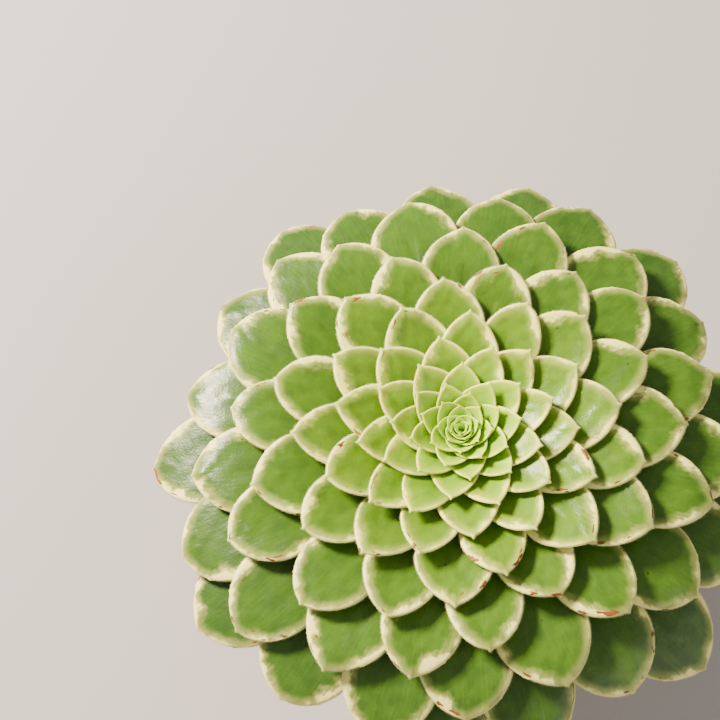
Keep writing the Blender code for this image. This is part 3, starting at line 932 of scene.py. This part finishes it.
def area_light(name, place, aim, size, power, tint):
    """A square soft light at a place, facing a point."""
    data = bpy.data.lights.new(name, "AREA")
    data.size = size
    data.energy = power
    data.color = colour(tint)[:3]
    made = bpy.data.objects.new(name, data)
    bpy.context.scene.collection.objects.link(made)
    made.location = place
    made.rotation_euler = (Vector(aim) - Vector(place)).to_track_quat("-Z", "Y").to_euler()


def set_stage():
    """A plain pale floor, a soft key light from the left, a weak fill and an even surround."""
    finish, node = material("studio_floor")
    shader = node("BsdfPrincipled", {"Base Color": colour("#aeacae"), "Roughness": 0.9})
    node("OutputMaterial", {"Surface": shader})
    side = (-FLOOR_HALF_SIDE, FLOOR_HALF_SIDE)
    points = [(x, y, 0.0) for y in side for x in side]
    floor = mesh_of("studio_floor", points, [[[0, 1, 3, 2]]])
    floor.data.materials.append(finish)
    aim = (0, 0, APEX_HEIGHT)
    area_light("key_light", KEY_PLACE, aim, KEY_SIZE, KEY_POWER, "#ffeed4")
    area_light("fill_light", FILL_PLACE, aim, FILL_SIZE, FILL_POWER, "#fff6e8")
    world = bpy.data.worlds.new("surround")
    world.use_nodes = True
    world.node_tree.nodes["Background"].inputs["Color"].default_value = colour("#f3f0e6")
    world.node_tree.nodes["Background"].inputs["Strength"].default_value = SURROUND_STRENGTH
    bpy.context.scene.world = world


# ---------------------------------------------------------------- build

# First leaf, leaf after the last, and the node and slot that the group's hairs stand in for.
HAIR_GROUPS = ((0, YOUNG_LEAF_COUNT, "rosette_heart", "young_leaf"),
               (YOUNG_LEAF_COUNT, 102, "leaf_56", "leaf"),
               (102, LEAF_COUNT, "leaf_56", "leaf"))


def build():
    """Makes every piece and rides it on the one body."""
    flesh, fibre, bark = leaf_flesh(), hair_fibre(), stem_bark()
    hairs = []
    for leaf in range(LEAF_COUNT):
        piece, outline, shape = leaf_piece(leaf, flesh)
        hairs.append(outline_hairs(leaf, outline, shape))
        young = leaf < YOUNG_LEAF_COUNT
        settle(piece, "rosette_heart" if young else f"leaf_{leaf - YOUNG_LEAF_COUNT + 1:02d}")
    for number, (first, last, node, slot) in enumerate(HAIR_GROUPS):
        group = hairs[first:last]
        starts = np.cumsum([0] + [len(points) for points, _, _ in group[:-1]])
        points = np.concatenate([points for points, _, _ in group])
        faces = np.concatenate([faces + start for (_, faces, _), start in zip(group, starts)])
        ends = np.concatenate([end for _, _, end in group])
        piece = mesh_of(f"leaf_margin_hairs_{number + 1}", points, [faces], {"end": ends})
        piece.data.materials.append(fibre)
        settle(piece, node)
    settle(growing_tip(bark), "rosette_heart")
    settle(stem_piece(bark), "stem")
    settle(pot_piece(fired_clay()), "pot")
    settle(soil_piece(moist_potting_mix()), "soil")
    perlite = granule("perlite_granule", ((0.0, "#e9e4d6"), (1.0, "#cfc8b8")), 900.0, 0.9)
    chips = granule("bark_chip", ((0.0, "#4a2f1c"), (0.5, "#6e4a2c"), (1.0, "#2f1d12")), 600.0, 0.85)
    grit = granule("stone_grit", ((0.0, "#7b7468"), (0.5, "#9a8c78"), (1.0, "#5d564d")), 500.0, 0.75)
    settle(grains("perlite", rng(PERLITE_SEED), 260, (1.5, 3.4), 0.8, perlite), "soil")
    settle(grains("bark_chips", rng(BARK_SEED), 340, (3.0, 8.0), 0.35, chips), "soil")
    settle(grains("grit", rng(GRIT_SEED), 420, (1.2, 3.6), 0.7, grit), "soil")


def settle(piece, node):
    """Rides a piece on the one body in place of a node, whose part it hides."""
    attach(piece, "root")
    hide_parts(node)


build()
set_stage()
set_camera()
